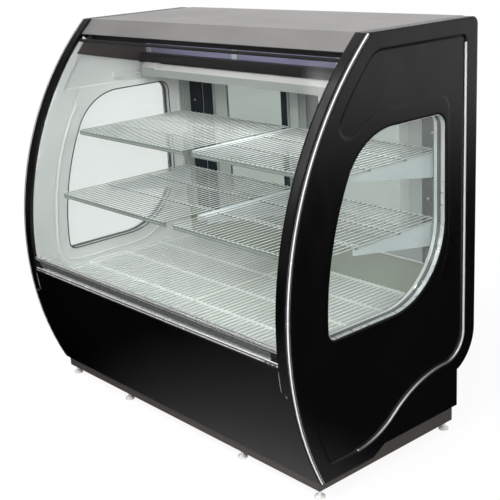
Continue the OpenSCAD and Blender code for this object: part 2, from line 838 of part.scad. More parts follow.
// Shelf with a strip under its front bar and a second bar along the strip's foot
module shelf(z, d) {
  strip_t = 2;
  strip_set = 1.5;
  lap = 0.5;
  y0 = shelf_back_y - d;
  z1 = bar_low_z(z);
  z0 = z1 + bar_d - rim_h;
  color("#f3f5f2") {
    wire_grid(shelf_x0, shelf_x1, y0, shelf_back_y, z, 4, shelf_pitch);
    block([shelf_x0, y0 + strip_set, z0 + lap], [shelf_x1, y0 + strip_set + strip_t, z1 + lap]);
    block([shelf_x0, y0, z0], [shelf_x1, y0 + bar_d, z0 + bar_d]);
  }
}

// Tapered sheet bracket hooked between the ribs of a standard
module bracket(x, z, reach) {
  top = bar_low_z(z);
  back = frame_y - cover_t - standard_base;
  front = shelf_back_y - reach;
  heel = 30;
  across(x - bracket_t / 2, x + bracket_t / 2) polygon([
    [front, top], [back, top], [back, top - bracket_h], [standard_y - heel, top - bracket_h],
    [front, top - bracket_tip_h]]);
}

// The two middle brackets of a level share a top plate, on which both shelves rest
module shelf_brackets() {
  color("#bfcbd0") for (z = [low_shelf_z, high_shelf_z]) {
    both() {
      bracket(inner_gap_x, z, inner_reach);
      bracket(outer_gap_x, z, outer_reach);
    }
    block([-inner_gap_x, shelf_back_y - inner_reach, bar_low_z(z) - bracket_t],
      [inner_gap_x, standard_y - fit, bar_low_z(z)]);
  }
}

// Sliding doors; the left one runs in the inner track
door_z0 = door_low_z + 1;
door_z1 = head_z - 1;
door_x0 = -door_overlap / 2;
door_x1 = open_x - 0.5;
door_pane_t = 5;

// Right-hand door frame centred on its track, pull towards the rear
module door_frame(y, pull) {
  pull_h = 160;
  pull_w = 14;
  mid_z = (door_z0 + door_z1) / 2;
  color("#e6e9e7") {
    difference() {
      block([door_x0, y - door_t / 2, door_z0], [door_x1, y + door_t / 2, door_z1]);
      block([door_x0 + stile_w, y - door_t, door_z0 + door_rail_h],
        [door_x1 - stile_w, y + door_t, door_z1 - door_rail_h]);
    }
    block([door_x0, y - fin_t / 2, door_low_z - sill_track + slide_gap],
      [door_x1, y + fin_t / 2, door_z0 + 0.5]);
    block([door_x0, y - fin_t / 2, door_z1 - 0.5], [door_x1, y + fin_t / 2, head_z + head_track - 8]);
    block([door_x1 - stile_w / 2 - pull_w / 2, y + door_t / 2 - 0.5, mid_z - pull_h / 2],
      [door_x1 - stile_w / 2 + pull_w / 2, y + door_t / 2 + pull, mid_z + pull_h / 2]);
  }
}

module door_glass(y) {
  color("#cfe3dc", 0.3) block(
    [door_x0 + stile_w, y - door_pane_t / 2, door_z0 + door_rail_h],
    [door_x1 - stile_w, y + door_pane_t / 2, door_z1 - door_rail_h]);
}

// Rear service grille with rows of louvres
grille_y = kick_y - 3;

module service_grille() {
  slot_h = 6;
  pitch = 14;
  slot_w = 150;
  z0 = base_top + 24;
  rows = floor((tub_z - z0 - 20) / pitch) - 1;
  x_end = clear_x - 20;
  cols = floor((x_end - panel_x0 + 2 * panel_x0) / (slot_w + 20));
  color("#2a2b2c") difference() {
    block([-clear_x, grille_y, base_top], [clear_x, kick_y, tub_z]);
    for (c = [0:cols - 1], r = [0:rows])
      translate([-x_end + c * (slot_w + 20), grille_y - eps, z0 + r * pitch])
        cube([slot_w, 3 + 2 * eps, slot_h]);
  }
}

// Control panel at the rear, with a knob and a rocker switch
panel_in = 250;
panel_x0 = half_w - panel_in;
panel_w = 160;
panel_h = 90;
panel_t = 6;
panel_mid_z = (base_top + tub_z) / 2;
knob_in = 50;
switch_in = 116;
knob_x = panel_x0 + knob_in;
switch_x = panel_x0 + switch_in;
shaft_r = 3;
knob_r = 18;
knob_h = 16;
panel_y = kick_y + panel_t;
rocker = [12, 10, 24];
bezel_t = 4;
bezel_d = 8;
rocker_pin_r = 1.5;
rocker_gap = 1;

module control_panel() {
  color("#2f3133") difference() {
    union() {
      block([panel_x0, kick_y, panel_mid_z - panel_h / 2],
        [panel_x0 + panel_w, panel_y, panel_mid_z + panel_h / 2]);
      translate([switch_x - rocker[0] / 2 - rocker_gap - bezel_t, panel_y - 0.5,
        panel_mid_z - rocker[2] / 2 - 6])
        cube([rocker[0] + 2 * (rocker_gap + bezel_t), bezel_d + 0.5, rocker[2] + 12]);
    }
    rod_y([knob_x, kick_y + 1, panel_mid_z], panel_t, shaft_r + run_gap);
    translate([switch_x - rocker[0] / 2 - rocker_gap, kick_y + 2, panel_mid_z - rocker[2] / 2 - 3])
      cube([rocker[0] + 2 * rocker_gap, panel_t + bezel_d, rocker[2] + 6]);
    rod_x([switch_x - rocker[0] / 2 - rocker_gap - 3, panel_y + bezel_d / 2, panel_mid_z],
      rocker[0] + 2 * rocker_gap + 6, rocker_pin_r + run_gap);
  }
}

module thermostat_knob() {
  color("#1b1b1c") {
    rod_y([knob_x, kick_y + 1.5, panel_mid_z], panel_t, shaft_r);
    rod_y([knob_x, panel_y + slide_gap, panel_mid_z], knob_h, knob_r);
    block([knob_x - 2, panel_y + knob_h, panel_mid_z - knob_r + 3],
      [knob_x + 2, panel_y + knob_h + 5, panel_mid_z + knob_r - 3]);
  }
}

module light_switch() {
  y = panel_y + bezel_d / 2;
  color("#3b5a3f") {
    intersection() {
      block([switch_x - rocker[0] / 2, y - rocker[1] / 2, panel_mid_z - rocker[2] / 2],
        [switch_x + rocker[0] / 2, y + rocker[1] / 2 + 3, panel_mid_z + rocker[2] / 2]);
      rod_x([switch_x - rocker[0] / 2, y - 2, panel_mid_z], rocker[0], rocker[2] / 2 + 1);
    }
    rod_x([switch_x - rocker[0] / 2 - rocker_gap - 2.5, y, panel_mid_z],
      rocker[0] + 2 * rocker_gap + 5, rocker_pin_r);
  }
}

// Refrigeration in the base
floor_z = foot_h + base_t;
comp_in = 400;
comp_x = half_w - comp_in;
comp_y = 80;
pot_r = 78;
pot_h = 150;
pot_low_r = 20;
pot_top_r = 45;
pot_z = 14;
seam_h = 8;
seam_d = 5;
skid = [220, 180, 4.5];
skid_in = 15;
damper_r = 11;
terminal = [45, 64, 60];
terminal_lap = 12;
terminal_z = 30;
stub_r = 4.5;
stub_l = 40;
stub_lap = 8;
stub_z = 40;

// Hermetic compressor: welded pot on a skid with dampers, a terminal box and stub pipes
module compressor() {
  seam_z = pot_z + pot_h / 2;
  color("#1d1e20") translate([comp_x, comp_y, floor_z]) {
    rotate_extrude() polygon(concat([[0, pot_z]],
      arc([pot_r - pot_low_r, pot_z + pot_low_r], pot_low_r, -90, 0, 6),
      [[pot_r, seam_z - seam_h / 2], [pot_r + seam_d, seam_z - seam_h / 2],
       [pot_r + seam_d, seam_z + seam_h / 2], [pot_r, seam_z + seam_h / 2]],
      arc([pot_r - pot_top_r, pot_z + pot_h - pot_top_r], pot_top_r, 0, 90, 8), [[0, pot_z + pot_h]]));
    translate([-skid[0] / 2, -skid[1] / 2, pot_z + 0.5 - skid[2]]) cube(skid);
    for (x = [-1, 1] * (skid[0] / 2 - skid_in), y = [-1, 1] * (skid[1] / 2 - skid_in))
      translate([x, y, 0]) cylinder(r = damper_r, h = pot_z + eps - skid[2]);
    translate([pot_r - terminal_lap, -terminal[1] / 2, pot_z + terminal_z]) cube(terminal);
    for (a = [130, 165, 200]) rotate([0, 0, a]) translate([pot_r - stub_lap, 0, pot_z + stub_z])
      rotate([0, 90, 0]) cylinder(r = stub_r, h = stub_l);
  }
}

coil_in = 230;
coil_x0 = coil_in - half_w;
coil_w = 300;
coil_h = tub_z - floor_z - 30;
coil_d = 46;
coil_y = grille_y - coil_d - 12;
fan_x = coil_x0 + coil_w / 2;
fan_z = floor_z + coil_h / 2;
shroud_y = coil_y - 8;
shroud_t = 4;
fan_y = shroud_y - 34;
motor_r = 34;
motor_shaft_r = 4;
hub_r = 20;
hub_l = 20;

// Finned block on two end plates, with tubes that pass through the fins
module finned_coil(w, d, h, fin_pitch, rows) {
  fin_t = 2;
  n = floor((w - fin_t) / fin_pitch);
  for (i = [0:n]) translate([i * (w - fin_t) / n, 0, 0]) cube([fin_t, d, h]);
  for (r = [0:rows - 1], y = [d * 0.28, d * 0.72])
    translate([-10, y, h * (r + 0.5) / rows]) rotate([0, 90, 0]) cylinder(r = 4.5, h = w + 20, $fn = 24);
}

module condenser_coil() {
  color("#8a8d8e") translate([coil_x0, coil_y, floor_z]) finned_coil(coil_w, coil_d, coil_h, 15, 5);
}

// Shroud plate with the fan opening, the motor and the three arms that carry it
module fan_shroud() {
  motor_l = 50;
  motor_gap = 20;
  shaft_end = 16;
  motor_y = fan_y - motor_gap - motor_l;
  color("#5c6062") {
    difference() {
      block([coil_x0, shroud_y, floor_z], [coil_x0 + coil_w, shroud_y + shroud_t, floor_z + coil_h]);
      rod_y([fan_x, shroud_y - eps, fan_z], shroud_t + 2 * eps, fan_r + 5);
    }
    block([coil_x0, shroud_y + shroud_t - 0.5, floor_z], [coil_x0 + 6, coil_y, floor_z + coil_h]);
    rod_y([fan_x, motor_y, fan_z], motor_l, motor_r);
    rod_y([fan_x, motor_y, fan_z], motor_l + motor_gap + shaft_end, motor_shaft_r);
    for (a = [90, 210, 330]) translate([fan_x, 0, fan_z]) rotate([0, -a, 0]) {
      block([motor_r - 4, motor_y + 6, -5], [fan_r + 13, motor_y + 12, 5]);
      block([fan_r + 7, motor_y + 6, -5], [fan_r + 13, shroud_y + 0.5, 5]);
    }
  }
}

// Axial fan: hub with pitched blades trimmed to a round tip
module axial_fan(c, r, core_r, core_l, bore_r, blades) {
  pitch_a = 32;
  translate(c) difference() {
    union() {
      rotate([-90, 0, 0]) translate([0, 0, -core_l / 2]) cylinder(r = core_r, h = core_l);
      intersection() {
        for (i = [0:blades - 1]) rotate([0, i * 360 / blades, 0]) rotate([0, 0, pitch_a])
          translate([-r * 0.36, -1, core_r * 0.6]) cube([r * 0.72, 2, r]);
        rotate([-90, 0, 0]) translate([0, 0, -core_l]) cylinder(r = r, h = 2 * core_l);
      }
    }
    rotate([-90, 0, 0]) translate([0, 0, -core_l]) cylinder(r = bore_r, h = 2 * core_l);
  }
}

module condenser_fan() {
  color("#3c3f42") axial_fan([fan_x, fan_y, fan_z], fan_r, hub_r, hub_l, motor_shaft_r + run_gap, 5);
}

// Evaporator in the tub: coil with its fan panel, and a motor behind each fan
evap_z = tub_z + tub_t + 34;
evap_h = 60;
evap_d = 80;
evap_y = duct_y - ledge_w - evap_d - 30;
evap_in = 230;
evap_x = half_w - evap_in;
evap_fan_x = evap_x / 2;
evap_shaft_r = 2.5;
evap_motor_l = 30;
evap_motor_r = 16;
evap_motor_gap = 10;
evap_shaft_l = 22;
evap_pitch = 24;
evap_plate = 3;
evap_lap = 6;
evap_arm = 10;
evap_panel_t = 4;
evap_fan_gap = 36;
evap_hub_r = 10;
evap_hub_l = 14;
evap_fan_y = evap_y - evap_fan_gap;
evap_fan_z = evap_z + evap_h / 2;
evap_panel_y = evap_y - evap_panel_t;
evap_motor_y = evap_fan_y - evap_motor_gap - evap_motor_l;
evap_arm_y = evap_motor_y + evap_motor_r;
evap_arm_x = evap_fan_r + 1.5 * evap_lap;

module evaporator_coil() {
  color("#a9b0ae") {
    translate([-evap_x, evap_y, evap_z]) finned_coil(2 * evap_x, evap_d, evap_h, evap_pitch, 2);
    for (x = [-evap_x, evap_x - evap_plate])
      block([x, evap_y, tub_floor_z(evap_y)], [x + evap_plate, evap_y + evap_d, evap_z + evap_h]);
    difference() {
      block([-evap_x, evap_panel_y, evap_z - evap_lap], [evap_x, evap_y + 0.5, evap_z + evap_h + evap_lap]);
      for (x = [-evap_fan_x, evap_fan_x])
        rod_y([x, evap_panel_y - eps, evap_fan_z], evap_panel_t + 3 * eps, evap_fan_r - evap_plate);
    }
    for (x = [-evap_fan_x, evap_fan_x]) {
      rod_y([x, evap_motor_y, evap_fan_z], evap_motor_l, evap_motor_r);
      rod_y([x, evap_motor_y, evap_fan_z], evap_motor_l + evap_shaft_l, evap_shaft_r);
      translate([x, 0, evap_fan_z]) both() {
        block([evap_motor_r - evap_plate, evap_arm_y, -evap_arm / 2],
          [evap_arm_x, evap_arm_y + evap_lap, evap_arm / 2]);
        block([evap_arm_x - evap_lap, evap_arm_y, -evap_arm / 2],
          [evap_arm_x, evap_panel_y + 0.5, evap_arm / 2]);
      }
    }
  }
}

// Height of the tub's sloping floor at a depth
function tub_floor_z(y) =
  let (y0 = tub_wall_y + ledge_w, y1 = duct_y - ledge_w, z0 = tub_z + 55, z1 = tub_z + tub_t)
  z0 + (z1 - z0) * (y - y0) / (y1 - y0);

module evaporator_fan(s) {
  color("#55595b") axial_fan([s * evap_fan_x, evap_fan_y, evap_fan_z], evap_fan_r, evap_hub_r, evap_hub_l,
    evap_shaft_r + run_gap, 5);
}

base_tray();
levelling_feet();
side(-1) end_panel();  // left_end_panel
side(1) end_panel();  // right_end_panel
side(-1) front_piping();  // left_front_piping
side(1) front_piping();  // right_front_piping
side(-1) side_strip();  // left_side_strip
side(1) side_strip();  // right_side_strip
side(-1) side_liner();  // left_side_liner
side(1) side_liner();  // right_side_liner
side(-1) window_glass();  // left_window_glass
side(1) window_glass();  // right_window_glass
side(-1) window_ring();  // left_window_ring
side(1) window_ring();  // right_window_ring
side(-1) window_gasket();  // left_window_gasket
side(1) window_gasket();  // right_window_gasket
canopy();
canopy_gussets();
light_panel();
ballast_cover();
lamp_hangers();
lamp_housing();
lamp_tube();
lamp_brackets();
front_fascia();
sill_rail();
pivot_blocks();
pivot_pins();
front_glass();
glass_rail();
glass_top_edge();
deck_tub();
deck_pan();
side(-1) deck_grid();  // left_deck_grid
side(1) deck_grid();  // right_deck_grid
rear_duct_panel();
rear_frame();
jamb_covers();
center_mullion();
shelf_standards();
side(-1) shelf(high_shelf_z, high_shelf_d);  // upper_left_shelf
side(1) shelf(high_shelf_z, high_shelf_d);  // upper_right_shelf
side(-1) shelf(low_shelf_z, low_shelf_d);  // lower_left_shelf
side(1) shelf(low_shelf_z, low_shelf_d);  // lower_right_shelf
shelf_brackets();
side(-1) door_frame(track_y[0], 4);  // left_door_frame
side(-1) door_glass(track_y[0]);  // left_door_glass
side(1) door_frame(track_y[1], 8);  // right_door_frame
side(1) door_glass(track_y[1]);  // right_door_glass
service_grille();
control_panel();
thermostat_knob();
light_switch();
compressor();
condenser_coil();
fan_shroud();
condenser_fan();
evaporator_coil();
evaporator_fan(-1);  // left_evaporator_fan
evaporator_fan(1);  // right_evaporator_fan
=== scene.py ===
"""Looks for the refrigerated counter display case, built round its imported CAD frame."""
import json
import math

import bmesh
import bpy
from mathutils import Matrix, Vector


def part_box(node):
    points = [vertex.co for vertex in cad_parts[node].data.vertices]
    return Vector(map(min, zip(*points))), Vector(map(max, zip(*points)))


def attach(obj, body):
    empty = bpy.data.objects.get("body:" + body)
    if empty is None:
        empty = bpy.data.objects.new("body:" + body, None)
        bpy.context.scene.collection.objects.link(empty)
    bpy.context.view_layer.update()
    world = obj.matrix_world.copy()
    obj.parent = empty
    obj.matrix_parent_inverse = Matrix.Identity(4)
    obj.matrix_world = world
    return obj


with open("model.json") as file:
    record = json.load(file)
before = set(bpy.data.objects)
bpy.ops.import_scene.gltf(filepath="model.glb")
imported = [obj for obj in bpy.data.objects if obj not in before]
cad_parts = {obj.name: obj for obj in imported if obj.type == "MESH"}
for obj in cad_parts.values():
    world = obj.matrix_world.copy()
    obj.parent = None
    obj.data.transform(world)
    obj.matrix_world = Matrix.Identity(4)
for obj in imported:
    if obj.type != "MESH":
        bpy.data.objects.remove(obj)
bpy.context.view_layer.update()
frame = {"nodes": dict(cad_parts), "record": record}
nodes = frame["nodes"]
scene = bpy.context.scene
scene.view_settings.view_transform = "Standard"
# The panes let lamp light straight through, so caustics would count it twice.
scene.cycles.caustics_refractive = False
scene.cycles.caustics_reflective = False

SIDES = ((-1, "left"), (1, "right"))
FULL_TURN = 2 * math.pi
WHITE = (1, 1, 1, 1)

# Camera, fitted to the outline in the photo: metres and radians
LENS_MM, SENSOR_MM = 73.05, 36.0
CAMERA_AT = Vector((2.3686, -1.9521, 1.4935))
YAW, PITCH, ROLL = 0.864685, 0.307619, -0.057558
VIEW_END = 100.0


def add_camera():
    """Camera at the photo's place, turned by yaw, pitch and roll from looking straight back."""
    ahead = Vector((-math.sin(YAW) * math.cos(PITCH), math.cos(YAW) * math.cos(PITCH),
                    -math.sin(PITCH)))
    level = Vector((math.cos(YAW), math.sin(YAW), 0.0))
    upright = level.cross(ahead)
    right = math.cos(ROLL) * level + math.sin(ROLL) * upright
    top = -math.sin(ROLL) * level + math.cos(ROLL) * upright
    data = bpy.data.cameras.new("photo_camera")
    data.lens = LENS_MM
    data.sensor_width = SENSOR_MM
    data.clip_end = VIEW_END
    camera = bpy.data.objects.new("photo_camera", data)
    turn = Matrix((right, top, -ahead)).transposed()
    camera.matrix_world = Matrix.Translation(CAMERA_AT) @ turn.to_4x4()
    scene.collection.objects.link(camera)
    scene.camera = camera


add_camera()

# Node helpers


class Tree:
    """Small helper that adds nodes to a material and links them."""

    def __init__(self, name):
        self.material = bpy.data.materials.new(name)
        self.material.use_nodes = True
        self.tree = self.material.node_tree
        self.bsdf = self.tree.nodes["Principled BSDF"]
        self.output = self.tree.nodes["Material Output"]
        self.coords = self.add("ShaderNodeTexCoord").outputs["Object"]

    def add(self, kind, inputs=None, **props):
        node = self.tree.nodes.new(kind)
        for key, value in props.items():
            setattr(node, key, value)
        for key, value in (inputs or {}).items():
            self.give(node.inputs[key], value)
        return node

    def give(self, socket, value):
        """Links a socket, or sets its constant."""
        if isinstance(value, bpy.types.NodeSocket):
            self.tree.links.new(value, socket)
        else:
            socket.default_value = value

    def scaled(self, scale):
        """Object coordinates stretched by a scale per axis."""
        return self.add("ShaderNodeMapping", {"Vector": self.coords, "Scale": scale}).outputs[0]

    def noise(self, scale, detail, vector=None, rough=0.55):
        return self.add("ShaderNodeTexNoise", {
            "Vector": vector or self.coords, "Scale": scale, "Detail": detail,
            "Roughness": rough}).outputs["Fac"]

    def remap(self, fac, low, high, from_low=0.3, from_high=0.7):
        return self.add("ShaderNodeMapRange", {
            "Value": fac, "From Min": from_low, "From Max": from_high,
            "To Min": low, "To Max": high}).outputs[0]

    def math(self, operation, *values):
        return self.add("ShaderNodeMath", dict(enumerate(values)), operation=operation).outputs[0]

    def mix(self, fac, a, b):
        """Colour from a to b, by the sockets that the node keeps for colours."""
        node = self.add("ShaderNodeMix", data_type="RGBA")
        for index, value in ((0, fac), (6, a), (7, b)):
            self.give(node.inputs[index], value)
        return node.outputs[2]

    def rounded(self, radius):
        """Normal that runs smoothly over the edges, as over a moulded fillet."""
        return self.add("ShaderNodeBevel", {"Radius": radius}, samples=FILLET_SAMPLES).outputs[0]

    def bump(self, height, distance, normal=None):
        node = self.add("ShaderNodeBump", {"Height": height, "Distance": distance, "Strength": 1.0})
        if normal is not None:
            self.give(node.inputs["Normal"], normal)
        return node.outputs[0]

    def set(self, **values):
        """Sets the main shader's inputs, and returns the material."""
        for key, value in values.items():
            self.give(self.bsdf.inputs[key.replace("_", " ")], value)
        return self.material


def shade(color, k):
    """Opaque colour times a factor."""
    return tuple(min(1.0, c * k) for c in color[:3]) + (1.0,)


# Finishes, and colours with painted highlight and painted shade
FILLET_SAMPLES = 6
LEAST_ROUGH, ROUGH_VARY = 0.03, 0.06
# How much smoother and rougher brushed lines are than the metal's mean
LINES_SMOOTHER, LINES_ROUGHER = 0.08, 0.1
GLASS_IOR = 1.3
GLASS_SMEAR = 0.02
HAZE_COLOR = (0.8, 0.83, 0.82, 1)


def coated(name, color, rough, vary, rough_vary=ROUGH_VARY, peel=0.00004, peel_scale=260.0,
           spec=0.5, fillet=0.0):
    """Paint or moulded plastic: slow colour drift, uneven gloss and a fine orange peel."""
    t = Tree(name)
    drift = t.remap(t.noise(scale=5.0, detail=4.0), 0.0, 1.0)
    smear = t.noise(scale=17.0, detail=5.0, vector=t.scaled((1.0, 1.0, 0.35)))
    peel_height = t.noise(scale=peel_scale, detail=2.0)
    return t.set(
        Base_Color=t.mix(drift, shade(color, 1.0 - vary), shade(color, 1.0 + vary)),
        Roughness=t.remap(smear, max(LEAST_ROUGH, rough - rough_vary), rough + rough_vary),
        Specular_IOR_Level=spec,
        Normal=t.bump(peel_height, peel, normal=t.rounded(fillet) if fillet else None))


def brushed(name, color, rough, grain=(2.0, 160.0, 160.0), depth=0.00003, vary=0.08, metal=1.0):
    """Metal brushed along the axis that has the small grain number."""
    t = Tree(name)
    lines = t.noise(scale=6.0, detail=6.0, vector=t.scaled(grain), rough=0.7)
    cloud = t.remap(t.noise(scale=4.0, detail=3.0), 0.0, 1.0)
    return t.set(
        Base_Color=t.mix(cloud, shade(color, 1.0 - vary), shade(color, 1.0 + vary)),
        Metallic=metal,
        Roughness=t.remap(lines, rough - LINES_SMOOTHER, rough + LINES_ROUGHER),
        Normal=t.bump(lines, depth))


def pane(name, tint, haze=0.0):
    """Glass that lets lamps through, with faint smears in its gloss and haze on each face."""
    t = Tree(name)
    smear = t.noise(scale=9.0, detail=5.0, vector=t.scaled((1.0, 1.0, 0.3)))
    t.set(Base_Color=tint, Transmission_Weight=1.0, IOR=GLASS_IOR,
          Roughness=t.remap(smear, 0.0, GLASS_SMEAR, from_low=0.5, from_high=0.8))
    clear = t.add("ShaderNodeBsdfTransparent", {"Color": tint}).outputs[0]
    in_shadow = t.add("ShaderNodeLightPath").outputs["Is Shadow Ray"]
    glass = t.bsdf.outputs[0]
    if haze:
        film = t.add("ShaderNodeBsdfDiffuse", {"Color": HAZE_COLOR}).outputs[0]
        glass = t.add("ShaderNodeMixShader", {0: haze, 1: glass, 2: film}).outputs[0]
    shown = t.add("ShaderNodeMixShader", {0: in_shadow, 1: glass, 2: clear}).outputs[0]
    t.give(t.output.inputs["Surface"], shown)
    return t.material


def lit_and_shaded(name, facing, lit_color, shaded_color, rough=0.36, metal=0.0, grain_scale=60.0):
    """Painted light: colour that goes from a painted-shade colour to a painted-highlight colour where
    facing(tree) goes from 0 to 1.
    """
    t = Tree(name)
    grain = t.noise(scale=grain_scale, detail=4.0)
    return t.set(
        Base_Color=t.mix(facing(t), shade(shaded_color, 1.0), shade(lit_color, 1.0)),
        Metallic=metal,
        Roughness=t.remap(grain, rough - ROUGH_VARY, rough + ROUGH_VARY),
        Normal=t.bump(t.noise(scale=900.0, detail=2.0), distance=0.00001))


def turned(t, axis):
    """Part of the surface's own direction along an axis."""
    normal = t.add("ShaderNodeNewGeometry").outputs["Normal"]
    return t.add("ShaderNodeSeparateXYZ", {0: normal}).outputs[axis]


def looks_up(t):
    """Mask for painted light: 1 on faces that look up, and 0 on sides and undersides."""
    return t.remap(turned(t, "Z"), 0.0, 1.0, from_low=-0.1, from_high=0.8)


def top_edge(t):
    """Mask for a painted highlight: 1 on faces that look mostly up."""
    return t.remap(turned(t, "Z"), 0.0, 1.0, from_low=0.35, from_high=0.75)


def looks_front(t):
    """Mask for a painted highlight: 1 on faces that look towards the front."""
    return t.remap(turned(t, "Y"), 1.0, 0.0, from_low=-0.6, from_high=-0.05)


def rod_highlight(t):
    """Mask for a painted highlight: 1 along the outer corner of a rod that lines a front edge."""
    aside = t.math("ABSOLUTE", turned(t, "X"))
    begins = t.remap(aside, 0.0, 1.0, from_low=0.3, from_high=0.5)
    ends = t.remap(aside, 1.0, 0.0, from_low=0.86, from_high=0.97)
    return t.math("MULTIPLY", begins, ends)


def gusset_plates_and_shade(name, plate, strip, plate_t):
    """Dark brown end plates, and a near-black strip between them behind the lip that is painted shade
    under the lip.
    """
    plate_x = max(abs(corner[0]) for corner in nodes["canopy_gussets"].bound_box) - plate_t
    t = Tree(name)
    across = t.add("ShaderNodeSeparateXYZ", {0: t.coords}).outputs["X"]
    at_end = t.math("GREATER_THAN", t.math("ABSOLUTE", across), plate_x)
    return t.set(
        Base_Color=t.mix(at_end, shade(strip, 1.0), shade(plate, 1.0)),
        Roughness=t.remap(t.noise(scale=40.0, detail=4.0), low=0.38, high=0.52),
        Normal=t.bump(t.noise(scale=300.0, detail=2.0), distance=0.00004))


def glowing(name, color, strength):
    """Lit tube with a faintly cloudy wall."""
    t = Tree(name)
    cloud = t.remap(t.noise(scale=30.0, detail=2.0), low=0.94, high=1.0)
    return t.set(
        Base_Color=t.mix(cloud, shade(color, 0.9), shade(color, 1.0)), Roughness=0.4,
        Emission_Color=color, Emission_Strength=strength)


BLACK = (0.001, 0.001, 0.0011)
CLEAR_TINT = (0.965, 0.98, 0.972, 1)
DOOR_TINT = (0.4, 0.46, 0.42, 1)
# By material slot
MATERIALS = {
    "black_panel": coated("moulded_black", BLACK, rough=0.2, vary=0.25, rough_vary=0.05,
                          peel_scale=420.0, fillet=0.009),
    "black_fascia": coated("painted_black", BLACK, rough=0.2, vary=0.25, rough_vary=0.05,
                           peel=0.00003, peel_scale=300.0, fillet=0.003),
    # Painted highlight along the rods' outer corner, and painted dark sides
    "bright_trim": lit_and_shaded("bright_trim", rod_highlight, lit_color=(0.78, 0.79, 0.8),
                            shaded_color=(0.05, 0.05, 0.052), rough=0.22, metal=0.5),
    "liner": coated("pale_liner", (0.78, 0.795, 0.78), rough=0.42, vary=0.03, rough_vary=0.05,
                    peel=0.00003, peel_scale=340.0),
    "clear_glass": pane("clear_glass", CLEAR_TINT),
    "tinted_glass": pane("door_glass", DOOR_TINT),
    "ring_metal": brushed("ring_metal", (0.62, 0.64, 0.65), rough=0.3, grain=(4.0, 8.0, 8.0),
                          depth=0.000002, vary=0.05, metal=0.6),
    "gasket": coated("window_spacer", (0.055, 0.07, 0.07), rough=0.5, vary=0.12, rough_vary=0.08,
                     peel_scale=700.0),
    "stainless": brushed("brushed_canopy", (0.62, 0.608, 0.596), rough=0.36),
    # Painted shade: near-black strip behind the canopy's lip, between the dark brown end plates
    "dark_brown": gusset_plates_and_shade("dark_gusset", plate=(0.045, 0.036, 0.032),
                               strip=(0.003, 0.003, 0.003), plate_t=0.008),
    "lilac_panel": coated("lilac_panel", (0.34, 0.33, 0.52), rough=0.4, vary=0.05),
    "dark_cover": coated("dark_cover", (0.005, 0.0045, 0.005), rough=0.42, vary=0.12, spec=0.1),
    "grey_metal": coated("grey_metal", (0.74, 0.77, 0.76), rough=0.38, vary=0.05),
    # Painted light on the lamp housing: a lighter top, and painted shade on its sides and underside
    "lamp_white": lit_and_shaded("lamp_white", looks_up, lit_color=(0.95, 0.94, 0.91),
                           shaded_color=(0.42, 0.45, 0.43)),
    "lamp_tube": glowing("lamp_tube", (1.0, 0.99, 0.95, 1), strength=1.6),
    # Painted highlight on the rails' tops, and painted shade on their sides
    "sill_aluminium": lit_and_shaded("sill_aluminium", top_edge, lit_color=(0.8, 0.81, 0.8),
                               shaded_color=(0.13, 0.135, 0.135), rough=0.26, metal=0.6, grain_scale=20.0),
    "black_block": coated("black_block", (0.006, 0.006, 0.006), rough=0.4, vary=0.2),
    "pin_steel": brushed("pin_steel", (0.6, 0.61, 0.62), rough=0.25),
    "black_edge": coated("black_edge", (0.004, 0.004, 0.004), rough=0.45, vary=0.2),
    "tub_white": coated("tub_white", (0.72, 0.74, 0.72), rough=0.38, vary=0.03),
    "pan_grey": coated("deck_pan", (0.55, 0.575, 0.55), rough=0.4, vary=0.04),
    "white_paint": coated("white_wire_coat", (0.88, 0.9, 0.88), rough=0.35, vary=0.02,
                          rough_vary=0.05, peel=0.00002, peel_scale=900.0),
    "olive_panel": coated("olive_panel", (0.24, 0.27, 0.21), rough=0.45, vary=0.05),
    # Painted shade: this white frame gets a mid grey for the shade at the back of the case
    "frame_white": coated("frame_white", (0.34, 0.37, 0.36), rough=0.42, vary=0.03),
    "jamb_dark": coated("jamb_dark", (0.009, 0.014, 0.019), rough=0.38, vary=0.1, spec=0.15),
    "bracket_blue": coated("bracket_paint", (0.72, 0.785, 0.8), rough=0.36, vary=0.05),
    "door_white": coated("door_frame", (0.5, 0.535, 0.51), rough=0.36, vary=0.02),
    "base_grey": coated("base_grey", (0.045, 0.04, 0.036), rough=0.45, vary=0.12, rough_vary=0.08,
                        peel=0.00006, peel_scale=500.0),
    "foot_metal": brushed("foot_metal", (0.7, 0.7, 0.68), rough=0.35, grain=(40.0, 40.0, 4.0),
                          depth=0.00001, vary=0.05, metal=0.35),
    "grille_dark": coated("grille_dark", (0.02, 0.021, 0.022), rough=0.42, vary=0.1),
    "control_dark": coated("control_dark", (0.03, 0.032, 0.034), rough=0.48, vary=0.1,
                           rough_vary=0.05, peel=0.0001, peel_scale=1500.0),
    "knob_black": coated("knob_black", (0.01, 0.01, 0.011), rough=0.36, vary=0.1),
    "switch_green": coated("switch_green", (0.03, 0.2, 0.06), rough=0.22, vary=0.05),
    "compressor_black": coated("compressor_black", (0.012, 0.013, 0.014), rough=0.34, vary=0.12),
    "coil_metal": brushed("coil_metal", (0.6, 0.62, 0.63), rough=0.35, grain=(160.0, 160.0, 4.0)),
    "shroud_grey": coated("shroud_grey", (0.12, 0.125, 0.13), rough=0.45, vary=0.08),
    "fan_plastic": coated("fan_plastic", (0.05, 0.054, 0.058), rough=0.45, vary=0.08),
}

# Finishes of single nodes that differ from the rest of their slot, some of them with painted highlight and
# painted shade
# Painted light on the shelf wires: white tops, and painted shade on their sides and undersides
SHELF_LIT_AND_SHADED = lit_and_shaded("shelf_wire_painted_shade", looks_up, lit_color=(0.86, 0.88, 0.86), shaded_color=(0.15, 0.19, 0.17))
SIDE_PANE = pane("side_pane", CLEAR_TINT, haze=0.035)
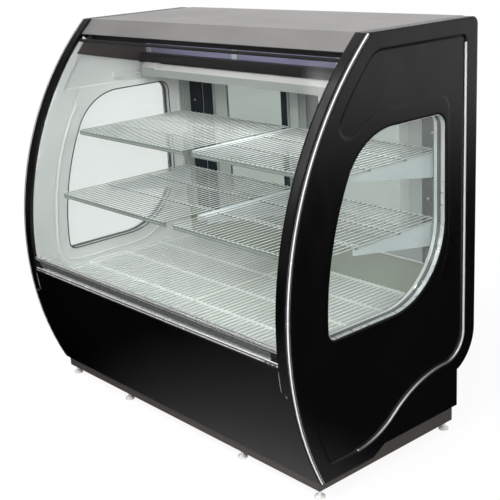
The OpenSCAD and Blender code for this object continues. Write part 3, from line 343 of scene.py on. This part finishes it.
# Painted highlight on the side strips' front-facing faces, and painted shade on their other faces
STRIP_HIGHLIGHT_TRIM = lit_and_shaded("strip_trim_painted_highlight", looks_front, lit_color=(0.85, 0.86, 0.87),
                      shaded_color=(0.12, 0.12, 0.125), rough=0.2, metal=0.5)
# Painted shade: the shelf standards get a darker grey for the shade at the back of the case
OWN_FINISH_AND_PAINTED_LIGHT = {"shelf_standards": coated("standard_painted_shade", (0.36, 0.395, 0.38), rough=0.4, vary=0.04)}
# Rounded edges in metres, by node
EDGES = {
    "canopy": 0.0006, "front_fascia": 0.0008, "sill_rail": 0.0006, "glass_rail": 0.0005,
    "glass_top_edge": 0.0008, "pivot_blocks": 0.001, "base_tray": 0.001, "rear_frame": 0.0015,
    "shelf_brackets": 0.0006, "shelf_standards": 0.0008, "lamp_housing": 0.001,
    "lamp_brackets": 0.0008, "jamb_covers": 0.001, "center_mullion": 0.001, "ballast_cover": 0.001,
    "deck_tub": 0.002, "service_grille": 0.0004, "control_panel": 0.0008, "thermostat_knob": 0.001,
    "light_switch": 0.0008,
}
# The same for nodes that come as a left and a right one
PAIR_EDGES = {
    "end_panel": 0.0025, "door_frame": 0.0015, "window_ring": 0.0012, "window_gasket": 0.001,
    "side_liner": 0.001, "side_strip": 0.003,
}
for _, side_name in SIDES:
    OWN_FINISH_AND_PAINTED_LIGHT[side_name + "_side_strip"] = STRIP_HIGHLIGHT_TRIM
    OWN_FINISH_AND_PAINTED_LIGHT[side_name + "_window_glass"] = SIDE_PANE
    OWN_FINISH_AND_PAINTED_LIGHT["upper_%s_shelf" % side_name] = SHELF_LIT_AND_SHADED
    OWN_FINISH_AND_PAINTED_LIGHT["lower_%s_shelf" % side_name] = SHELF_LIT_AND_SHADED
    EDGES.update({"%s_%s" % (side_name, piece): width for piece, width in PAIR_EDGES.items()})
SLOT_OF = {row["node"]: row["material_slot"] for row in frame["record"]["subparts"]}
SMOOTH_ANGLE = math.radians(36)
WELD_GAP = 0.00001
EDGE_STEPS = 2
FLAT_WEIGHT = 100


def dress(name, obj):
    """Gives a CAD node its material, soft edges and smooth curved faces."""
    obj.data.materials.clear()
    obj.data.materials.append(OWN_FINISH_AND_PAINTED_LIGHT.get(name) or MATERIALS[SLOT_OF[name]])
    for polygon in obj.data.polygons:
        polygon.use_smooth = True
    weld = obj.modifiers.new("weld", "WELD")
    weld.merge_threshold = WELD_GAP
    if name in EDGES:
        bevel = obj.modifiers.new("edges", "BEVEL")
        bevel.width = EDGES[name]
        bevel.segments = EDGE_STEPS
        bevel.limit_method = "ANGLE"
        bevel.angle_limit = SMOOTH_ANGLE
    split = obj.modifiers.new("creases", "EDGE_SPLIT")
    split.split_angle = SMOOTH_ANGLE
    if name in EDGES:
        flat = obj.modifiers.new("flat_faces", "WEIGHTED_NORMAL")
        flat.weight = FLAT_WEIGHT


for node_name, node_object in nodes.items():
    dress(node_name, node_object)

# Small pieces that only the looks carry, in metres

# Arc of the case's front, as in the CAD: radius, and middle in Y and Z
SWEEP_R = 1.0
SWEEP_Y, SWEEP_Z = 0.62, 0.5
# Radii of the front glass's back and of the front return's back edge, round the same middle
GLASS_BACK_R, RETURN_BACK_R = 0.984, 0.957
# Height up to which the fascia covers the end panels, and the screw just below it
NOTCH_Z = 0.35
FASCIA_SCREW_X, FASCIA_SCREW_Z = 0.622, NOTCH_Z - 0.006
# Other screws: (X, Z) on the jamb covers and X on the sill rail
JAMB_SCREWS = ((0.526, 0.708), (0.542, 0.907))
SILL_SCREWS = (0.556, 0.573, 0.59)
SCREW_R = 0.004
# Head's profile as shares of its radius: (radius, height) up to its flat top, and its cross
SCREW_PROFILE = ((1.0, -0.1), (1.0, 0.22), (0.88, 0.46), (0.66, 0.6))
CROSS_HALF_W, CROSS_REACH, CROSS_DEPTH = 0.1, 0.48, 0.3
SCREW_SIDES = 24
# Lamp cap: cut-off corner, how far it stands proud, share of its depth that is raised, and
# (way in from the end, share of how far it stands proud) along it
CAP_BEVEL, CAP_PROUD, CAP_STEP_SHARE = 0.014, 0.003, 0.45
CAP_STATIONS = ((0.0, 0.3), (0.0015, 1.0), (0.036, 1.0), (0.037, 0.4), (0.042, 0.4), (0.043, 1.0),
                (0.0765, 1.0), (0.078, 0.3))
# Lip beside the fascia, a painted highlight of the end panel's edge: radius, rings and points, end below
# the sill rail, and tapered tips
LIP_R, LIP_STEPS, LIP_SIDES, LIP_DROP = 0.0011, 12, 8, 0.008
LIP_TIP, LIP_TAPER = 0.3, 2.0
LIP_HIGHLIGHT_GREY = coated("lip_highlight_grey", (0.16, 0.16, 0.165), rough=0.3, vary=0.08)
# Bead on the liner: points round it, distance from the window, width, height and top end
BEAD_COUNT, BEAD_APART, BEAD_W, BEAD_H, BEAD_TOP_Z = 120, 0.04, 0.007, 0.0025, 0.96
BEAD_PROFILE = ((-0.5, -0.1), (-0.4, 0.6), (-0.2, 1.0), (0.2, 1.0), (0.4, 0.6), (0.5, -0.1))
# Points each way that give the bead its direction, and how a ring's outer edge is told apart
BEAD_REACH = 3
RING_FACE_TOL, RING_ANGLE_DIGITS = 0.0005, 2
# Facing of the front return: thickness, how far it sinks in, and steps along its arc
COVER_T, COVER_LAP, COVER_STEPS = 0.0006, 0.0002, 40


def sweep_y(z):
    """Front face of the case at a height."""
    return SWEEP_Y - math.sqrt(SWEEP_R ** 2 - (z - SWEEP_Z) ** 2)


def add_piece(name, bm, material):
    """Ends a mesh and fixes it to the case."""
    bmesh.ops.recalc_face_normals(bm, faces=bm.faces)
    mesh = bpy.data.meshes.new(name)
    bm.to_mesh(mesh)
    bm.free()
    mesh.materials.append(material)
    piece = bpy.data.objects.new(name, mesh)
    scene.collection.objects.link(piece)
    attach(piece, "case")


def joined(bm, rings):
    """Faces between rings of points, each ring a closed loop."""
    loops = [[bm.verts.new(point) for point in ring] for ring in rings]
    for low, high in zip(loops, loops[1:]):
        for i in range(len(low)):
            j = (i + 1) % len(low)
            bm.faces.new((low[i], low[j], high[j], high[i]))
    return loops


def add_bar(name, rings, material):
    """Closed piece through rings of points, with flat ends."""
    bm = bmesh.new()
    loops = joined(bm, rings)
    bm.faces.new(loops[0])
    bm.faces.new(loops[-1])
    add_piece(name, bm, material)


def circle(count):
    """Cosine and sine of evenly spaced angles."""
    angles = [FULL_TURN * i / count for i in range(count)]
    return [(math.cos(a), math.sin(a)) for a in angles]


def add_screw(name, at, outward):
    """Pan head with a cross recess, its seat at a point."""
    bm = bmesh.new()
    head = [[(k * SCREW_R * c, k * SCREW_R * s, z * SCREW_R) for c, s in circle(SCREW_SIDES)]
            for k, z in SCREW_PROFILE]
    loops = joined(bm, head)
    bm.faces.new(loops[0])
    top = SCREW_PROFILE[-1][1] * SCREW_R
    w, reach = CROSS_HALF_W * SCREW_R, CROSS_REACH * SCREW_R
    arm = [(w, w), (w, reach), (-w, reach)]
    turns = [(1, 0), (0, 1), (-1, 0), (0, -1)]
    cross = [(c * x - s * y, s * x + c * y) for c, s in turns for x, y in arm]
    recess = joined(bm, [[(x, y, z) for x, y in cross] for z in (top, top - CROSS_DEPTH * SCREW_R)])
    bm.faces.new(recess[-1])
    rim = [edge for edge in bm.edges if edge.is_boundary]
    bmesh.ops.triangle_fill(bm, use_beauty=True, edges=rim)
    turn = Vector(outward).to_track_quat("Z", "Y").to_matrix().to_4x4()
    bmesh.ops.transform(bm, matrix=Matrix.Translation(Vector(at)) @ turn, verts=bm.verts)
    add_piece(name, bm, MATERIALS["pin_steel"])


def add_lamp_cap(name, side):
    """Grooved holder that sleeves one end of the lamp housing."""
    low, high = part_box("lamp_housing")
    step_y = low[1] + CAP_STEP_SHARE * (high[1] - low[1])
    shoulder_z = high[2] - CAP_BEVEL

    def section(x, proud):
        outline = ((low[1] - proud, low[2] - proud / 2), (high[1], low[2] - proud / 2),
                   (high[1], shoulder_z), (step_y, high[2] - proud / 2), (step_y, high[2] + proud),
                   (low[1] + CAP_BEVEL, high[2] + proud), (low[1] - proud, shoulder_z + proud))
        return [(x, y, z) for y, z in outline]

    rings = [section(side * (high[0] - along), k * CAP_PROUD) for along, k in CAP_STATIONS]
    add_bar(name, rings, MATERIALS["lamp_white"])


def add_notch_highlight(name, side):
    """Painted highlight: grey lip on the edge of the end panel, beside the top of the fascia."""
    low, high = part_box("sill_rail")
    rise = low[2] - LIP_DROP - NOTCH_Z
    rings = []
    for i in range(LIP_STEPS + 1):
        way = i / LIP_STEPS
        z = NOTCH_Z + rise * i / LIP_STEPS
        thin = LIP_R * min(1.0, LIP_TIP + LIP_TAPER * way, LIP_TIP + LIP_TAPER * (1 - way))
        rings.append([(side * high[0] + thin * c, sweep_y(z) + thin * s, z) for c, s in circle(LIP_SIDES)])
    add_bar(name, rings, LIP_HIGHLIGHT_GREY)


def window_outline(node, count):
    """Outer edge of a window ring, as evenly spaced (y, z) points in order round its middle."""
    points = [vertex.co for vertex in nodes[node].data.vertices]
    inner_x = min(abs(p.x) for p in points)
    edge = [Vector((p.y, p.z)) for p in points if abs(abs(p.x) - inner_x) < RING_FACE_TOL]
    middle = sum(edge, Vector((0.0, 0.0))) / len(edge)
    outer = {}
    for p in edge:
        key = round(math.atan2(p.y - middle.y, p.x - middle.x), RING_ANGLE_DIGITS)
        if key not in outer or (p - middle).length > (outer[key] - middle).length:
            outer[key] = p
    corners = [outer[key] for key in sorted(outer)]
    spans = [(b - a).length for a, b in zip(corners, corners[1:] + corners[:1])]
    even = []
    for i in range(count):
        along = sum(spans) * i / count
        k = 0
        while along > spans[k]:
            along -= spans[k]
            k += 1
        even.append(corners[k].lerp(corners[(k + 1) % len(corners)], along / spans[k]))
    return even


def liner_face_x(side_name):
    """Distance of a liner's inner face from the middle of the case."""
    low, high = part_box(side_name + "_side_liner")
    return min(abs(low[0]), abs(high[0]))


def add_liner_bead(name, side, side_name):
    """Moulded bead on the liner, round the front and foot of its window."""
    outline = window_outline(side_name + "_window_ring", BEAD_COUNT)
    face_x = liner_face_x(side_name)
    rings = []
    for i, p in enumerate(outline):
        run = (outline[(i + BEAD_REACH) % BEAD_COUNT] - outline[i - BEAD_REACH]).normalized()
        out = Vector((run.y, -run.x))
        spots = [(p + out * (BEAD_APART + o * BEAD_W), face_x - k * BEAD_H) for o, k in BEAD_PROFILE]
        rings.append([(side * x, spot.x, spot.y) for spot, x in spots])
    start = max(range(BEAD_COUNT), key=lambda i: rings[i][0][2])
    rings = [ring for ring in rings[start:] + rings[:start] if ring[0][2] < BEAD_TOP_Z]
    add_bar(name, rings, MATERIALS["liner"])


def add_return_cover(name, side, side_name):
    """Pale facing on the inner side of the front return, from the liner to the glass."""
    face_x = liner_face_x(side_name)
    foot_z, top_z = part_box("sill_rail")[1][2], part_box(side_name + "_side_liner")[1][2]
    section = ((face_x + COVER_LAP, RETURN_BACK_R), (face_x - COVER_T, RETURN_BACK_R),
               (face_x - COVER_T, GLASS_BACK_R), (face_x + COVER_LAP, GLASS_BACK_R))
    rings = []
    for i in range(COVER_STEPS + 1):
        a = math.asin((foot_z + (top_z - foot_z) * i / COVER_STEPS - SWEEP_Z) / SWEEP_R)
        rings.append([(side * x, SWEEP_Y - r * math.cos(a), SWEEP_Z + r * math.sin(a))
                      for x, r in section])
    add_bar(name, rings, MATERIALS["liner"])


FRONT = (0, -1, 0)
jamb_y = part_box("jamb_covers")[0][1]
sill_low, sill_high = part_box("sill_rail")
sill_mid_z = (sill_low[2] + sill_high[2]) / 2
for side, side_name in SIDES:
    add_lamp_cap(side_name + "_lamp_cap", side)
    add_liner_bead(side_name + "_liner_bead", side, side_name)
    # Grey lip that paints the highlight of the panel's edge beside the fascia
    add_notch_highlight(side_name + "_notch_highlight", side)
    add_return_cover(side_name + "_return_cover", side, side_name)
    add_screw(side_name + "_fascia_screw",
              (side * FASCIA_SCREW_X, sweep_y(FASCIA_SCREW_Z), FASCIA_SCREW_Z),
              (0, -1, NOTCH_Z - SWEEP_Z))
    for i, (x, z) in enumerate(JAMB_SCREWS):
        add_screw("%s_jamb_screw_%d" % (side_name, i + 1), (side * x, jamb_y, z), FRONT)
    for i, x in enumerate(SILL_SCREWS):
        add_screw("%s_sill_screw_%d" % (side_name, i + 1), (side * x, sill_low[1], sill_mid_z), FRONT)

# Stage and light

FLOOR_HALF = 14.0
FLOOR_GREY = (0.8, 0.8, 0.8, 1)
# Eased ramps: from, to, value at from, value at to.
# What the floor shows to a reflection: a painted pool of light in front on the right, and a far glow
# behind
POOL_X, POOL_Y = (-0.65, 0.95, 0.002, 0.38), (-0.3, 0.1, 1.0, 0.05)
FAR_AWAY, FAR_Y = (3.0, 8.0, 0.0, 0.72), (-1.0, 1.0, 0.1, 1.0)
# Share of plain white on the floor, which leaves a faint shadow near the case
CLEAN_AWAY = (0.7, 1.8, 0.9, 1.0)
# What the world shows to a reflection: bright overhead and behind, and in front on the left an
# upright strip, which the right front return mirrors in the photo's view
OVERHEAD, OVERHEAD_LEAN = (0.25, 0.7, 0.06, 0.62), 0.8
STRIP_LEFT, STRIP_RIGHT = (-0.715, -0.7, 0.0, 1.0), (-0.66, -0.6, 1.0, 0.0)
STRIP_FOOT, STRIP_TOP = (0.1, 0.5, 0.2, 3.0), (0.64, 0.7, 1.0, 0.0)
STRIP_IN_FRONT = (-0.3, -0.15, 1.0, 0.0)
SOFT_LIGHT, BACKDROP = 0.6, 1.0
# Area lamps: place, aim, size, power in watts and colour
LAMPS = {
    "key_softbox": ((0.4, -2.3, 3.6), (0, -0.05, 0.6), (2.2, 2.0), 165, (1, 1, 1)),
    "fill_softbox": ((3.1, -2.4, 1.9), (-0.3, 0, 0.7), (2.0, 1.8), 110, (1, 1, 1)),
    "right_softbox": ((3.4, 0.8, 2.2), (0.6, 0, 0.8), (1.6, 1.6), 30, (1, 1, 1)),
    "case_lamp": ((0, 0.1, 1.015), (0, -0.02, 0), (1.06, 0.05), 1.1, (1.0, 0.99, 0.96)),
    "canopy_lamp": ((0, -0.03, 1.2), (0, 0.15, 1.12), (1.0, 0.02), 0.6, (1, 1, 1)),
}


def ramp(tree, value, low, high, to_low, to_high):
    """Value eased from to_low to to_high while it goes from low to high."""
    node = tree.nodes.new("ShaderNodeMapRange")
    node.interpolation_type = "SMOOTHSTEP"
    limits = {"From Min": low, "From Max": high, "To Min": to_low, "To Max": to_high}
    for key, number in limits.items():
        node.inputs[key].default_value = number
    tree.links.new(value, node.inputs["Value"])
    return node.outputs[0]


def combine(tree, operation, a, b):
    """Sum, product or the like of two values."""
    node = tree.nodes.new("ShaderNodeMath")
    node.operation = operation
    for socket, value in zip(node.inputs, (a, b)):
        if isinstance(value, bpy.types.NodeSocket):
            tree.links.new(value, socket)
        else:
            socket.default_value = value
    return node.outputs[0]


def blended(tree, fac, a, b):
    """Shader that goes from a to b."""
    node = tree.nodes.new("ShaderNodeMixShader")
    for socket, value in zip(node.inputs, (fac, a, b)):
        tree.links.new(value, socket)
    return node.outputs[0]


def reflected(tree, path):
    """1 for a ray that a gloss sent here, also from inside a pane, and 0 for one straight through."""
    no_bounce = 0.5
    return combine(tree, "GREATER_THAN", path.outputs["Glossy Depth"], no_bounce)


def seen(tree, path):
    """1 for a ray from the camera, straight or through a pane."""
    return combine(tree, "MAXIMUM", path.outputs["Is Camera Ray"], path.outputs["Is Transmission Ray"])


def add_floor():
    """Pale floor: white to the camera with a faint shadow, and in reflections a dark studio floor with a
    painted pool of light and a far glow.
    """
    mesh = bpy.data.meshes.new("floor")
    corners = [(x * FLOOR_HALF, y * FLOOR_HALF, 0) for x, y in ((-1, -1), (1, -1), (1, 1), (-1, 1))]
    mesh.from_pydata(corners, [], [(0, 1, 2, 3)])
    floor = bpy.data.objects.new("floor", mesh)
    scene.collection.objects.link(floor)
    t = Tree("pale_floor")
    tree = t.tree
    t.set(Base_Color=FLOOR_GREY, Roughness=0.8, Specular_IOR_Level=0.2)
    away = t.add("ShaderNodeVectorMath", {0: t.coords}, operation="LENGTH").outputs["Value"]
    axes = t.add("ShaderNodeSeparateXYZ", {0: t.coords}).outputs
    pool = combine(tree, "MULTIPLY", ramp(tree, axes["X"], *POOL_X), ramp(tree, axes["Y"], *POOL_Y))
    far = combine(tree, "MULTIPLY", ramp(tree, away, *FAR_AWAY), ramp(tree, axes["Y"], *FAR_Y))
    glow = combine(tree, "ADD", pool, far)
    mirrored = t.add("ShaderNodeEmission", {"Color": WHITE, "Strength": glow}).outputs[0]
    white = t.add("ShaderNodeEmission", {"Color": WHITE, "Strength": BACKDROP}).outputs[0]
    path = t.add("ShaderNodeLightPath")
    share = combine(tree, "MULTIPLY", seen(tree, path), ramp(tree, away, *CLEAN_AWAY))
    shown = blended(tree, share, t.bsdf.outputs[0], white)
    shown = blended(tree, reflected(tree, path), shown, mirrored)
    tree.links.new(shown, t.output.inputs["Surface"])
    mesh.materials.append(t.material)


def add_world():
    """Even soft light, a white background, and a studio that shows only in reflections."""
    world = bpy.data.worlds.new("studio")
    world.use_nodes = True
    tree = world.node_tree
    tree.nodes.clear()

    def background(strength):
        node = tree.nodes.new("ShaderNodeBackground")
        node.inputs["Color"].default_value = WHITE
        if isinstance(strength, float):
            node.inputs["Strength"].default_value = strength
        else:
            tree.links.new(strength, node.inputs["Strength"])
        return node.outputs[0]

    path = tree.nodes.new("ShaderNodeLightPath")
    split = tree.nodes.new("ShaderNodeSeparateXYZ")
    tree.links.new(tree.nodes.new("ShaderNodeTexCoord").outputs["Generated"], split.inputs[0])
    axes = split.outputs
    upward = combine(tree, "ADD", axes["Z"], combine(tree, "MULTIPLY", axes["Y"], OVERHEAD_LEAN))
    glow = ramp(tree, axes["X"], *STRIP_LEFT)
    for axis, limits in (("X", STRIP_RIGHT), ("Z", STRIP_FOOT), ("Z", STRIP_TOP), ("Y", STRIP_IN_FRONT)):
        glow = combine(tree, "MULTIPLY", glow, ramp(tree, axes[axis], *limits))
    mirrored = background(combine(tree, "ADD", ramp(tree, upward, *OVERHEAD), glow))
    shown = blended(tree, seen(tree, path), background(SOFT_LIGHT), background(BACKDROP))
    shown = blended(tree, reflected(tree, path), shown, mirrored)
    out = tree.nodes.new("ShaderNodeOutputWorld")
    tree.links.new(shown, out.inputs["Surface"])
    scene.world = world


def add_lamp(name, at, towards, size, power, color):
    """Area lamp that lights the case but does not show in its gloss."""
    data = bpy.data.lights.new(name, "AREA")
    data.shape = "RECTANGLE"
    data.size, data.size_y = size
    data.energy = power
    data.color = color
    lamp = bpy.data.objects.new(name, data)
    lamp.location = at
    lamp.rotation_euler = (Vector(towards) - Vector(at)).to_track_quat("-Z", "Y").to_euler()
    lamp.visible_glossy = False
    scene.collection.objects.link(lamp)


add_floor()
add_world()
for lamp_name, settings in LAMPS.items():
    add_lamp(lamp_name, *settings)
